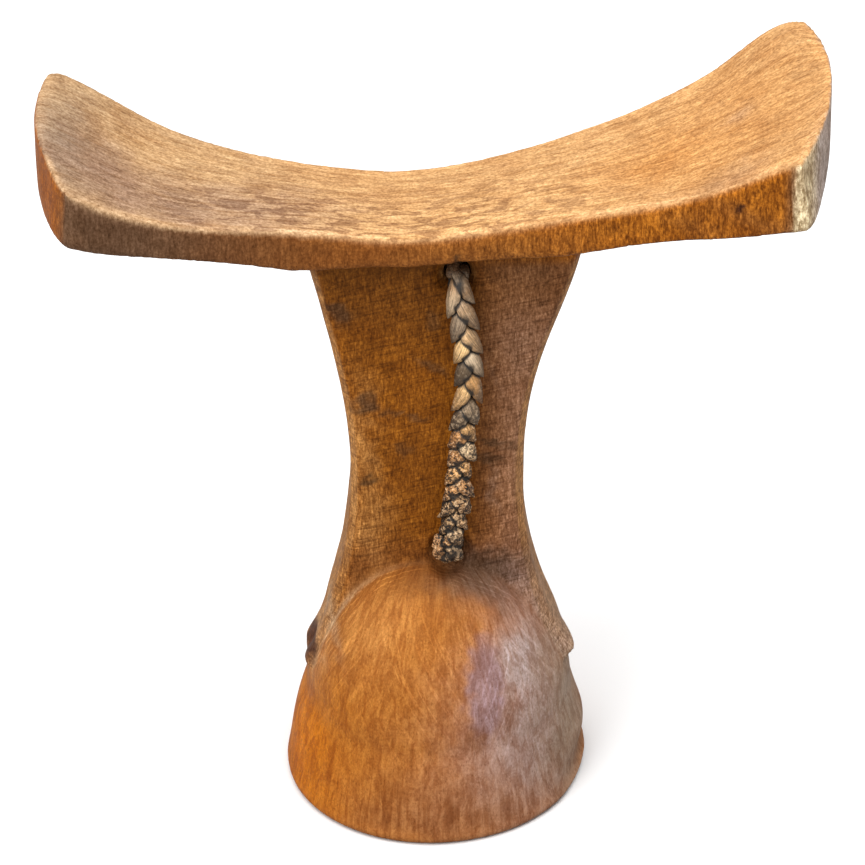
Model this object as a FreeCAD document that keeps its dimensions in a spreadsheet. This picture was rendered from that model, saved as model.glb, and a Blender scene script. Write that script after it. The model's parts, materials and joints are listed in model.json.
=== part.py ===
import FreeCAD, Part
import math
import os
import Sketcher
from FreeCAD import Vector

# A carved wooden headrest: saddle-shaped neck rest, waisted column and domed foot, all cut from one
# block, with a plaited leather carrying strap down the front of the column. Millimetres, +Z is up,
# the strap side faces -Y, and the origin is the centre of the foot on the floor.

# Saddle. It dips a little left of the middle, and its right horn stands higher and deeper.
saddle = {
    "saddle_low_height": 165.9,
    "saddle_low_offset": 8,
    "left_reach": 93.9,
    "right_reach": 96.6,
    "left_horn_rise": 26,
    "right_horn_rise": 34.9,
    "middle_half_depth": 17,
    "left_half_depth": 29.8,
    "right_half_depth": 38.5,
    "middle_thickness": 8.8,
    "left_thickness": 20,
    "right_thickness": 22,
    "left_end_radius": 80,
    "right_end_radius": 74.5,
    "left_low_end_radius": 86,
    "right_low_end_radius": 120,
    "left_end_shift": 9.7,
    "right_end_shift": 4.4,
    "left_end_lean": 0.4,
    "right_end_lean": 1.6,
    "left_corner_radius": 4.5,
    "right_corner_radius": 9,
    "cut_overrun": 3,
}

# Column. A flat blade between two waists, flaring down into fins that stand proud of the dome.
column = {
    "column_thickness": 20,
    "column_arris_width": 2.2,
    "column_arris_depth": 3.4,
    "column_waist_height": 93,
    "waist_left": 21,
    "waist_right": 22.4,
    "column_top_left": 30,
    "column_top_right": 37.8,
    "fin_height": 34.5,
    "fin_left": 34.2,
    "fin_right": 35.6,
}

# Foot. A flared drum that rises into a dome with a rounded shoulder.
foot = {
    "foot_radius": 39.7,
    "foot_edge_bevel": 1.2,
    "dome_radius": 34.8,
    "dome_spring_height": 25,
    "dome_side_radius": 64.4,
    "dome_shoulder_radius": 24.9,
    "dome_shoulder_height": 56.1,
    "dome_crown_radius": 29,
    "dome_height": 70.2,
}

# Strap holes through the column, burnt through and worn wide at the front.
holes = {
    "hole_diameter": 6.6,
    "mouth_diameter": 11.4,
    "top_hole_height": 151.5,
    "top_hole_shift": 6.7,
    "bottom_hole_height": 71.5,
    "bottom_hole_shift": 3.6,
    "crown_notch_length": 8,
    "mouth_bend_depth": 2.8,
}

# Strap. Three thongs plaited flat between the holes, and drawn together in each hole.
strap = {
    "plait_width": 8,
    "plait_pitch": 19,
    "thong_gap": 0.3,
    "mouth_taper_length": 9,
    "shank_clearance": 0.3,
    "shank_bend_radius": 5,
    "knot_seat_gap": 0.3,
    "knot_radius": 5.6,
    "knot_turn_diameter": 4.2,
    "knot_tail_length": 3,
    "knot_tail_diameter": 4.6,
}
knot_sides = 6
shank_bend_angle = 55
knot_tilt_angle = 16
thong_twist_angle = 120

# Places along each half of the saddle, from the dip to the horn, with how far the rise, the depth
# and the thickness have grown there.
left_saddle_shares = ((0.43, 0.185, 0.20, 0.06), (0.78, 0.623, 0.75, 0.33), (0.89, 0.842, 0.86, 0.61),
                      (1, 1, 1, 1))
right_saddle_shares = ((0.31, 0.139, 0.093, 0.06), (0.60, 0.382, 0.40, 0.12), (0.84, 0.762, 0.786, 0.64),
                       (1, 1, 1, 1))

# Places up the column as shares of the way from the waist to the fins or to the saddle, with how
# far the left and the right side have spread there.
lower_column_shares = ((1, 1, 1), (0.83, 0.70, 0.67), (0.55, 0.31, 0.26))
upper_column_shares = ((0.50, 0.34, 0.37), (0.78, 0.80, 0.83), (1, 1, 1))
column_top_share = 0.9

# The plait's parts as shares of its width: how far a thong swings across and dives, and its section.
swing_share = 0.325
dive_share = 0.2
thong_width_share = 0.51
thong_thickness_share = 0.295
mouth_plait_share = 0.74
plait_phase_share = 0.05

# The strap's route from the top hole's mouth to the bottom one's, chosen by hand.
route_points = (
    (6.7, -11.3, 149.4),
    (7.2, -13.4, 146.2),
    (8.2, -14.6, 140.2),
    (9.2, -15.2, 131.2),
    (9.0, -15.4, 121.0),
    (7.6, -15.2, 111.0),
    (6.7, -14.9, 100.6),
    (5.7, -14.5, 90.4),
    (4.5, -14.1, 82.4),
    (3.8, -13.3, 77.2),
    (3.6, -11.3, 73.6),
)
arc_run_share = 0.45
thong_sides = 8
steps_per_pitch = 12
thong_count = 3

doc = FreeCAD.newDocument("carved_headrest")
size = doc.addObject("Spreadsheet::Sheet", "size")


def fill_sheet():
    row = 1
    for group in (saddle, column, foot, holes, strap):
        for alias, number in group.items():
            size.set(f"A{row}", alias.replace("_", " "))
            size.set(f"B{row}", str(number))
            size.setAlias(f"B{row}", alias)
            row += 1
    doc.recompute()


def value(expression):
    return float(size.evalExpression(expression))


def blend(start, end, share):
    """An expression for a value part of the way from start to end."""
    return f"({start}) + (({end}) - ({start})) * {share}"


def new_body(label):
    body = doc.addObject("PartDesign::Body", label)
    body.Label = label
    return body


def new_sketch(body, name, plane, offset=None):
    """A sketch on one of the body's own origin planes, moved along the plane's normal."""
    sketch = body.newObject("Sketcher::SketchObject", name)
    origin_plane = next(item for item in body.Origin.OriginFeatures if item.Role == plane)
    sketch.AttachmentSupport = [(origin_plane, "")]
    sketch.MapMode = "FlatFace"
    if offset:
        sketch.setExpression("AttachmentOffset.Base.z", offset)
    return sketch


def bind(sketch, constraint, expression):
    sketch.setExpression(f"Constraints[{sketch.addConstraint(constraint)}]", expression)


def pin_point(sketch, index, point, place):
    """Bind a point of a line, arc or circle to a place given as two expressions."""
    for kind, expression in zip(("DistanceX", "DistanceY"), place):
        bind(sketch, Sketcher.Constraint(kind, -1, 1, index, point, value(expression)), expression)


def add_circle(sketch, place, diameter):
    centre = Vector(value(place[0]), value(place[1]), 0)
    circle = Part.Circle(centre, Vector(0, 0, 1), value(diameter) / 2)
    index = sketch.addGeometry(circle, False)
    pin_point(sketch, index, 3, place)
    bind(sketch, Sketcher.Constraint("Diameter", index, value(diameter)), diameter)


def arc_between(start, end, radius):
    """The short arc from start to end that bulges to the right of the way there."""
    chord = end - start
    across = Vector(chord.y, -chord.x, 0).normalize()
    to_centre = math.sqrt(radius ** 2 - chord.Length ** 2 / 4)
    centre = (start + end) / 2 - across * to_centre
    first = math.atan2(start.y - centre.y, start.x - centre.x)
    last = math.atan2(end.y - centre.y, end.x - centre.x)
    return Part.ArcOfCircle(Part.Circle(centre, Vector(0, 0, 1), radius), first, last)


def add_outline(sketch, corners, outward=None, inward=None):
    """Draw a closed outline anticlockwise, with arcs of given radius that bulge out of it or into it."""
    outward = outward or {}
    inward = inward or {}
    places = [Vector(value(across), value(up), 0) for across, up in corners]
    ends = []
    for index, start in enumerate(places):
        end = places[(index + 1) % len(places)]
        if index in outward:
            sketch.addGeometry(arc_between(start, end, value(outward[index])), False)
        elif index in inward:
            sketch.addGeometry(arc_between(end, start, value(inward[index])), False)
        else:
            sketch.addGeometry(Part.LineSegment(start, end), False)
        ends.append((2, 1) if index in inward else (1, 2))
    for index, corner in enumerate(corners):
        following = (index + 1) % len(corners)
        joint = Sketcher.Constraint("Coincident", index, ends[index][1], following, ends[following][0])
        sketch.addConstraint(joint)
        pin_point(sketch, index, ends[index][0], corner)
    for index, radius in (outward | inward).items():
        bind(sketch, Sketcher.Constraint("Radius", index, value(radius)), radius)


def add_loft(body, name, sections):
    loft = body.newObject("PartDesign::AdditiveLoft", name)
    loft.Profile = sections[0]
    loft.Sections = sections[1:]
    loft.Ruled = False


def add_polygon(sketch, place, radius, sides, turned=0):
    """Draw a regular polygon round a place. Turned is the angle of its first corner."""
    corners = []
    for side in range(sides):
        angle = turned + 360 * side / sides
        corners.append((f"{place[0]} + {radius} * cos({angle} deg)", f"{place[1]} + {radius} * sin({angle} deg)"))
    add_outline(sketch, corners)


def add_saddle(body):
    """The neck rest, lofted through upright sections from horn to horn."""
    dip = "-size.saddle_low_offset"
    stations = [(dip, "size.saddle_low_height", "size.middle_half_depth", "size.middle_thickness")]
    for side, sign, shares in (("left", "-", left_saddle_shares), ("right", "", right_saddle_shares)):
        tip = f"{sign}(size.{side}_reach + size.cut_overrun)"
        for along, rise, depth, thickness in shares:
            stations.append((
                blend(dip, tip, along),
                f"size.saddle_low_height + size.{side}_horn_rise * {rise}",
                blend("size.middle_half_depth", f"size.{side}_half_depth", depth),
                blend("size.middle_thickness", f"size.{side}_thickness", thickness),
            ))
    stations.sort(key=lambda station: value(station[0]))
    sections = []
    for number, (along, top, half_depth, thickness) in enumerate(stations):
        section = new_sketch(body, f"saddle_section_{number + 1}", "YZ_Plane", along)
        front = f"-({half_depth})"
        under = f"({top}) - ({thickness})"
        add_outline(section, [(front, under), (half_depth, under), (half_depth, top), (front, top)])
        sections.append(section)
    add_loft(body, "saddle_plank", sections)


def trim_end(body, side, sign):
    """Cut one end of the saddle to an arc in plan, whose middle lies behind the centre line. The arc is
    flatter at the wall's lower edge, and its middle leans in there."""
    half_width = f"(size.{side}_half_depth + size.cut_overrun)"
    outside = f"{sign} * (size.{side}_reach + 2 * size.cut_overrun)"
    horn_top = f"size.saddle_low_height + size.{side}_horn_rise"
    outlines = []
    for level, height, reach, radius in (
        ("low", f"{horn_top} - size.{side}_thickness - size.cut_overrun",
         f"size.{side}_reach - size.{side}_end_lean", f"size.{side}_low_end_radius"),
        ("high", f"{horn_top} + size.cut_overrun", f"size.{side}_reach", f"size.{side}_end_radius"),
    ):
        centre = f"({reach} - {radius})"
        front = f"{sign} * ({centre} + sqrt({radius}^2 - ({half_width} + size.{side}_end_shift)^2))"
        back = f"{sign} * ({centre} + sqrt({radius}^2 - ({half_width} - size.{side}_end_shift)^2))"
        corners = [(outside, f"-{half_width}"), (outside, half_width), (back, half_width), (front, f"-{half_width}")]
        if sign < 0:
            corners = corners[::-1]
        outline = new_sketch(body, f"{side}_end_{level}", "XY_Plane", height)
        add_outline(outline, corners, inward={2 if sign > 0 else 0: radius})
        outlines.append(outline)
    trim = body.newObject("PartDesign::SubtractiveLoft", f"{side}_end")
    trim.Profile = outlines[0]
    trim.Sections = outlines[1:]
    trim.Ruled = True


def fillet_edges(body, name, radius, is_wanted):
    """Round every edge of the body's latest shape that is_wanted accepts."""
    doc.recompute()
    base = body.Tip
    names = [f"Edge{number + 1}" for number, edge in enumerate(base.Shape.Edges) if is_wanted(edge)]
    fillet = body.newObject("PartDesign::Fillet", name)
    fillet.Base = (base, names)
    fillet.setExpression("Radius", radius)


def is_back_corner(edge, sign):
    """True for the upright edge where one end of the saddle meets its back face."""
    low, high = sorted((vertex.Point for vertex in edge.Vertexes), key=lambda point: point.z)
    leans_little = math.hypot(high.x - low.x, high.y - low.y) < high.z - low.z
    beyond_column = sign * low.x > value("size.column_top_right")
    return leans_little and beyond_column and low.y > 0


def add_column(body):
    """The waisted blade, lofted up from the fins into the saddle, with its four arrises cut back."""
    waist = "size.column_waist_height"
    top = f"size.saddle_low_height - size.middle_thickness * {1 - column_top_share}"
    stations = [(waist, "size.waist_left", "size.waist_right")]
    for end, widest_left, widest_right, shares in (
        ("size.fin_height", "size.fin_left", "size.fin_right", lower_column_shares),
        (top, "size.column_top_left", "size.column_top_right", upper_column_shares),
    ):
        for along, left, right in shares:
            stations.append((
                blend(waist, end, along),
                blend("size.waist_left", widest_left, left),
                blend("size.waist_right", widest_right, right),
            ))
    stations.sort(key=lambda station: value(station[0]))
    back = "size.column_thickness / 2"
    arris = "size.column_arris_width"
    slope = "size.column_arris_depth"
    sections = []
    for number, (height, left, right) in enumerate(stations):
        section = new_sketch(body, f"column_section_{number + 1}", "XY_Plane", height)
        left_side = f"-({left})"
        add_outline(section, [
            (f"{left_side} + {arris}", f"-{back}"),
            (f"({right}) - {arris}", f"-{back}"),
            (right, f"-{back} + {slope}"),
            (right, f"{back} - {slope}"),
            (f"({right}) - {arris}", back),
            (f"{left_side} + {arris}", back),
            (left_side, f"{back} - {slope}"),
            (left_side, f"-{back} + {slope}"),
        ])
        sections.append(section)
    add_loft(body, "column_blade", sections)


def add_foot(body):
    """The flared drum and its dome, turned about the upright axis."""
    profile = new_sketch(body, "foot_profile", "XZ_Plane")
    corners = [
        ("0", "0"),
        ("size.foot_radius - size.foot_edge_bevel", "0"),
        ("size.foot_radius", "size.foot_edge_bevel"),
        ("size.dome_radius", "size.dome_spring_height"),
        ("size.dome_shoulder_radius", "size.dome_shoulder_height"),
        ("0", "size.dome_height"),
    ]
    add_outline(profile, corners, outward={3: "size.dome_side_radius", 4: "size.dome_crown_radius"})
    turned = body.newObject("PartDesign::Revolution", "foot_and_dome")
    turned.Profile = profile
    turned.ReferenceAxis = (profile, ["V_Axis"])
    turned.Angle = 360


def bore_strap_holes(body):
    """Two holes through the column, with mouths worn wide at the front."""
    doc.recompute()
    face = new_sketch(body, "strap_hole_centres", "XZ_Plane", "size.column_thickness / 2")
    for end in ("top", "bottom"):
        add_circle(face, (f"size.{end}_hole_shift", f"size.{end}_hole_height"), "size.hole_diameter")
    doc.recompute()
    bores = body.newObject("PartDesign::Hole", "strap_holes")
    bores.Profile = face
    bores.DepthType = "ThroughAll"
    bores.HoleCutType = "Countersink"
    bores.setExpression("Diameter", "size.hole_diameter")
    bores.setExpression("HoleCutDiameter", "size.mouth_diameter")
    bores.HoleCutCountersinkAngle = 90


def notch_crown(body):
    """A shallow groove that the strap has worn in the dome, in front of the bottom hole."""
    start = new_sketch(body, "crown_notch_outline", "XZ_Plane", "size.column_thickness / 2")
    add_circle(start, ("size.bottom_hole_shift", "size.bottom_hole_height"), "size.mouth_diameter")
    notch = body.newObject("PartDesign::Pocket", "crown_notch")
    notch.Profile = start
    notch.Reversed = True
    notch.setExpression("Length", "size.crown_notch_length")


def make_carved_body():
    body = new_body("carved_body")
    add_saddle(body)
    trim_end(body, "left", -1)
    trim_end(body, "right", 1)
    fillet_edges(body, "left_corner", "size.left_corner_radius", lambda edge: is_back_corner(edge, -1))
    fillet_edges(body, "right_corner", "size.right_corner_radius", lambda edge: is_back_corner(edge, 1))
    add_column(body)
    add_foot(body)
    bore_strap_holes(body)
    notch_crown(body)
    return body


def add_knot_turn(body, name, place, along, turn_radius, tilt):
    """One turn of the stopper knot: a ring that leans to one side."""
    section = new_sketch(body, f"{name}_section", "YZ_Plane", along)
    middle = (f"{place[0]} - {turn_radius} * sin({tilt} deg)", f"{place[1]} + {turn_radius} * cos({tilt} deg)")
    add_polygon(section, middle, "size.knot_turn_diameter / 2", knot_sides, tilt)
    far_end = (f"{place[0]} + {turn_radius} * cos({tilt} deg)", f"{place[1]} + {turn_radius} * sin({tilt} deg)")
    first, last = (Vector(value(across), value(up), 0) for across, up in (place, far_end))
    section.addGeometry(Part.LineSegment(first, last), True)
    pin_point(section, knot_sides, 1, place)
    pin_point(section, knot_sides, 2, far_end)
    ring = body.newObject("PartDesign::Revolution", name)
    ring.Profile = section
    ring.ReferenceAxis = (section, ["Axis0"])
    ring.Angle = 360


def make_knot(end, turn):
    """The strap's end in one hole: a bundle that bends over the mouth, and a stopper knot behind."""
    body = new_body(f"{end}_knot")
    along = f"size.{end}_hole_shift"
    height = f"size.{end}_hole_height"
    bundle = "(size.hole_diameter - 2 * size.shank_clearance)"
    radius = "size.shank_bend_radius"
    back = "(size.column_thickness / 2 + size.knot_seat_gap)"
    front = "(size.column_thickness / 2 - size.mouth_bend_depth)"
    angle = math.radians(shank_bend_angle)
    path = new_sketch(body, f"{end}_bundle_path", "YZ_Plane", along)
    corner = Vector(-value(front), value(height), 0)
    centre = corner - Vector(0, turn * value(radius), 0)
    path.addGeometry(Part.LineSegment(Vector(value(back), value(height), 0), corner), False)
    if turn > 0:
        bend = Part.ArcOfCircle(Part.Circle(centre, Vector(0, 0, 1), value(radius)), math.pi / 2, math.pi / 2 + angle)
        joint = 1
    else:
        bend = Part.ArcOfCircle(Part.Circle(centre, Vector(0, 0, 1), value(radius)), -math.pi / 2 - angle, -math.pi / 2)
        joint = 2
    path.addGeometry(bend, False)
    path.addConstraint(Sketcher.Constraint("Coincident", 0, 2, 1, joint))
    pin_point(path, 0, 1, (back, height))
    pin_point(path, 0, 2, (f"-{front}", height))
    pin_point(path, 1, 3, (f"-{front}", f"{height} - {turn} * {radius}"))
    mouth = (f"-{front} - {radius} * sin({shank_bend_angle} deg)",
             f"{height} - {turn} * {radius} * (1 - cos({shank_bend_angle} deg))")
    bind(path, Sketcher.Constraint("DistanceX", -1, 1, 1, 3 - joint, value(mouth[0])), mouth[0])
    section = new_sketch(body, f"{end}_bundle_section", "XZ_Plane", f"-{back}")
    add_polygon(section, (along, height), f"{bundle} / 2", thong_sides)
    shank = body.newObject("PartDesign::AdditivePipe", f"{end}_bundle")
    shank.Profile = section
    shank.Spine = path
    turn_radius = "(size.knot_radius - size.knot_turn_diameter / 2)"
    lean = f"{turn_radius} * sin({knot_tilt_angle} deg)"
    for number, tilt in ((1, knot_tilt_angle), (2, -knot_tilt_angle)):
        seat = f"({back} + {lean} + size.knot_turn_diameter * {number / 2})"
        add_knot_turn(body, f"{end}_knot_turn_{number}", (seat, height), along, turn_radius, tilt)
    knot_length = f"1.5 * size.knot_turn_diameter + 2 * {lean}"
    for name, radius, length in (
        ("core", turn_radius, knot_length),
        ("tail", "size.knot_tail_diameter / 2", f"{knot_length} + size.knot_tail_length"),
    ):
        outline = new_sketch(body, f"{end}_{name}_outline", "XZ_Plane", f"-{back}")
        add_polygon(outline, (along, height), radius, thong_sides)
        stem = body.newObject("PartDesign::Pad", f"{end}_knot_{name}")
        stem.Profile = outline
        stem.Reversed = True
        stem.setExpression("Length", length)
    return body


def route_wire(points):
    """The strap's centre line: straight runs joined by arcs as large as the two runs allow."""
    edges = []
    radii = []
    start = points[0]
    for before, corner, after in zip(points, points[1:], points[2:]):
        inward = (before - corner).normalize()
        onward = (after - corner).normalize()
        turn = math.pi - inward.getAngle(onward)
        reach = arc_run_share * min((before - corner).Length, (after - corner).Length)
        first = corner + inward * reach
        last = corner + onward * reach
        radius = reach / math.tan(turn / 2)
        middle = corner + (inward + onward).normalize() * (radius / math.cos(turn / 2) - radius)
        edges.append(Part.LineSegment(start, first).toShape())
        edges.append(Part.Arc(first, middle, last).toShape())
        radii.append(round(radius, 1))
        start = last
    edges.append(Part.LineSegment(start, points[-1]).toShape())
    print("strap bend radii, mm", radii)
    return Part.Wire(edges)


def plait_frames(wire):
    """Places along the centre line, with the way along, across and away from the column at each."""
    steps = round(wire.Length / value("size.plait_pitch") * steps_per_pitch)
    places = wire.discretize(Number=steps + 1)
    frames = []
    for number, place in enumerate(places):
        before = places[max(number - 1, 0)]
        after = places[min(number + 1, steps)]
        along = (after - before).normalize()
        across = along.cross(Vector(0, 1, 0)).normalize()
        frames.append((wire.Length * number / steps, place, across, along.cross(across)))
    return frames


def flat_face(*corners):
    return Part.Face(Part.makePolygon([*corners, corners[0]]))


def skin_rings(rings):
    """A solid of flat faces: two triangles between each pair of points, and a lid on each end ring."""
    faces = [flat_face(*rings[0]), flat_face(*rings[-1][::-1])]
    for lower, upper in zip(rings, rings[1:]):
        for side, corner in enumerate(lower):
            following = (side + 1) % len(lower)
            faces.append(flat_face(corner, upper[side], upper[following]))
            faces.append(flat_face(corner, upper[following], lower[following]))
    solid = Part.Solid(Part.Shell(faces))
    if solid.Volume < 0:
        solid.reverse()
    return solid


def make_thong(number, wire):
    """One flat thong. It swings across as a sine, dives twice as often, and twists to lie on its neighbours."""
    width = value("size.plait_width")
    half_width = (width * thong_width_share - value("size.thong_gap")) / 2
    half_thickness = (width * thong_thickness_share - value("size.thong_gap")) / 2
    taper = value("size.mouth_taper_length")
    rings = []
    for distance, place, across, away in plait_frames(wire):
        opened = min(distance, wire.Length - distance, taper) / taper
        scale = mouth_plait_share + (1 - mouth_plait_share) * opened * opened * (3 - 2 * opened)
        phase = 2 * math.pi * (distance / value("size.plait_pitch") + number / thong_count + plait_phase_share)
        swing = across * (width * swing_share * scale * math.sin(phase))
        dive = away * (width * dive_share * scale * math.sin(2 * phase))
        twist = math.radians(thong_twist_angle) * math.cos(phase)
        outward = across * math.cos(twist) + away * math.sin(twist)
        sideways = away * math.cos(twist) - across * math.sin(twist)
        ring = []
        for side in range(thong_sides):
            angle = 2 * math.pi * side / thong_sides
            edge = sideways * (half_width * math.cos(angle)) + outward * (half_thickness * math.sin(angle))
            ring.append(place + swing + dive + edge * scale)
        rings.append(ring)
    thong = doc.addObject("Part::Feature", f"strap_thong_{number + 1}")
    thong.Label = f"strap_thong_{number + 1}"
    thong.Shape = skin_rings(rings)
    return thong


def save_parts(pieces):
    """Stop if anything failed to build, and otherwise write one file for each piece."""
    doc.recompute()
    for item in doc.Objects:
        if {"Invalid", "Error"} & set(item.State):
            raise RuntimeError(f"{item.Label} did not build: {item.State}")
    os.makedirs("parts", exist_ok=True)
    for piece in pieces:
        if piece.Shape.isNull() or not piece.Shape.isValid():
            raise RuntimeError(f"{piece.Label} has no sound shape")
        piece.Shape.exportStep(f"parts/{piece.Label}.step")
        print(piece.Label, "volume", round(piece.Shape.Volume), "solids", len(piece.Shape.Solids))


fill_sheet()
pieces = [make_carved_body(), make_knot("top", 1), make_knot("bottom", -1)]
strap_line = route_wire([Vector(*point) for point in route_points])
print("free length of the strap, mm", round(strap_line.Length, 1))
pieces += [make_thong(number, strap_line) for number in range(thong_count)]
save_parts(pieces)
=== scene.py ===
import json
import math
import bmesh
import bpy
import numpy as np
from mathutils import Matrix, Vector
from mathutils.kdtree import KDTree

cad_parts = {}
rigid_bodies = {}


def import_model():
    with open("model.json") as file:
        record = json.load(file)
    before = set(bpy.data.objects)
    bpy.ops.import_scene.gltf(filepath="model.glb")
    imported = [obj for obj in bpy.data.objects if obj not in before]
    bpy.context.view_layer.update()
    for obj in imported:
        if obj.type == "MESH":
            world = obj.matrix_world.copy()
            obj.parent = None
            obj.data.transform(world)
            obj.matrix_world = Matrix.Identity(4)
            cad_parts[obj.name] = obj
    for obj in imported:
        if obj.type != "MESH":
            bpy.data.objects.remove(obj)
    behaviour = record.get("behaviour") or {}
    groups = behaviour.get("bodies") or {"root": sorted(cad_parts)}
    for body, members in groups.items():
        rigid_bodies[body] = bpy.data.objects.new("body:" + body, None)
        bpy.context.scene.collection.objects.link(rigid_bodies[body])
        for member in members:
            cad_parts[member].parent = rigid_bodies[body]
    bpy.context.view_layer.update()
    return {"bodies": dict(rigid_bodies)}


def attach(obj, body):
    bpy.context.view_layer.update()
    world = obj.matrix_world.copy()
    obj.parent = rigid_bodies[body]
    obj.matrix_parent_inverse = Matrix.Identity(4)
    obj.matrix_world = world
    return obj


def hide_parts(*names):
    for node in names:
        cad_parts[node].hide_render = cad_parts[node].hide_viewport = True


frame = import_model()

print("frame loaded")

fullTurn = 2 * math.pi


def smoothStep(value, low, high):
    share = np.clip((value - low) / (high - low), 0, 1)
    return share * share * (3 - 2 * share)


def mix(first, second, share):
    return first + (second - first) * share[:, None]


def unit(vectors):
    return vectors / np.linalg.norm(vectors, axis=-1, keepdims=True)


def waves(points, length, seed, count=22):
    # mean of many plane waves of about one length in random directions, scaled to about -1 to 1
    dice = np.random.default_rng(seed)
    ways = unit(dice.normal(size=(count, 3)))
    pace = fullTurn / (length * dice.uniform(0.75, 1.35, count))
    starts = dice.uniform(0, fullTurn, count)
    return np.cos(points @ (ways * pace[:, None]).T + starts).sum(1) / math.sqrt(count)


def bump(points, centre, reach, turn=0):
    # a round hill: e to the minus half of the squared distance, counted in reaches, turned about the y axis
    away = points - np.array(centre)
    cosine, sine = math.cos(math.radians(turn)), math.sin(math.radians(turn))
    turned = np.column_stack([away[:, 0] * cosine + away[:, 2] * sine, away[:, 1],
                              away[:, 2] * cosine - away[:, 0] * sine]) / np.array(reach)
    return np.exp(-0.5 * (turned * turned).sum(1))


def summedBumps(points, rows):
    return sum(strength * bump(points, centre, reach) for strength, centre, reach in rows)


def meanOfNeighbours(values, edges):
    # each vertex's value is replaced by the mean of those it shares an edge with
    total = np.zeros_like(values)
    shared = np.bincount(edges.ravel(), minlength=len(values)).astype(float)
    for column in range(values.shape[1]):
        total[:, column] = (
            np.bincount(edges[:, 0], values[edges[:, 1], column], len(values))
            + np.bincount(edges[:, 1], values[edges[:, 0], column], len(values)))
    return total / np.maximum(shared, 1)[:, None]


def readVectors(items, name, width=3):
    values = np.empty(len(items) * width)
    items.foreach_get(name, values)
    return values.reshape(-1, width)


def writeVectors(items, name, values):
    items.foreach_set(name, np.ascontiguousarray(values, dtype=np.float32).ravel())


def readPoints(mesh):
    return readVectors(mesh.vertices, "co") * 1000


def placePoints(mesh, points):
    # from millimetres
    writeVectors(mesh.vertices, "co", points / 1000)
    mesh.update()


def paint(mesh, name, values):
    # one number or three for each vertex, for the material to read
    if values.ndim == 1:
        layer = mesh.attributes.new(name, "FLOAT", "POINT")
        layer.data.foreach_set("value", values.astype(np.float32))
    else:
        layer = mesh.attributes.new(name, "FLOAT_COLOR", "POINT")
        writeVectors(layer.data, "color", np.column_stack([values, np.ones(len(values))]))


def newObject(name, mesh):
    thing = bpy.data.objects.new(name, mesh)
    bpy.context.scene.collection.objects.link(thing)
    return thing


def smoothFaces(mesh):
    mesh.polygons.foreach_set("use_smooth", np.ones(len(mesh.polygons), dtype=bool))
    mesh.update()


# the carved block: how the CAD solid is worn and cut by hand, in millimetres
block = {
    "fineGrid": 0.5,          # faces on which the arrises are worn
    "fineRounds": 22,         # rounds of averaging there
    "grid": 0.85,             # size of the finished faces
    "rounds": 26,             # rounds of averaging where the arrises are well rounded
    "unevenness": ((60, 0.16), (24, 0.1), (9, 0.03)),   # wave length, height
    "seed": 11,
    "saddleFrom": 154.5,      # height of the lowest seat
    "slices": 60,             # steps along the saddle at which its shape is read
    "holeRim": (3.6, 6),      # from each hole's centre line, where the wear begins and where it is full
    "wornRounds": (9, 3),     # rounds of averaging that find the arrises, and that smooth what is found
    "footRadius": 34,         # the foot's and the saddle's size that the grain is counted by
    "halfDepth": 20,
}

# where the arrises are well rounded: centre, reach along x, y, z, and how fully
roundings = {
    "frontMiddle": ((8, -17, 161), (20, 5, 8), 1),
    "leftCorner": ((-82, -26, 181), (6, 7, 9), 1),
    "rightCornerLow": ((90, -30, 175), (6, 8, 5), 0.8),
    "leftHornTop": ((-88, 14, 195), (5, 8, 6), 0.6),
}

# dents: centre, reach along x, y, z, and how deep
dents = {
    "footChip": ((39, -5, 5.5), (6, 13, 3.8), 2.1),
    "footWearRight": ((37, -14, 4), (7, 10, 6), 0.5),
    "footHollowRight": ((27, -29, 13), (5, 5, 7), 0.7),
    "knotHole": ((-33, -0.5, 38.6), (1.7, 1.6, 3), 1),
    "crownDish": ((9, -13, 66), (7.5, 4.5, 4.5), 1.3),
    "crownDishRight": ((17, -14.5, 60.5), (7, 4, 4), 0.7),
    "bandNick": ((6.9, -17.6, 157.8), (0.8, 1.6, 2.4), 0.8),
    "bandPit": ((72.6, -30.7, 180.1), (0.8, 1.6, 0.9), 0.5),
    "leftCorner": ((-84.5, -28, 180), (4, 4, 30), 0.5),
    "rightCorner": ((86.5, -36, 184), (4, 4, 30), 0.6),
}

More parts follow.
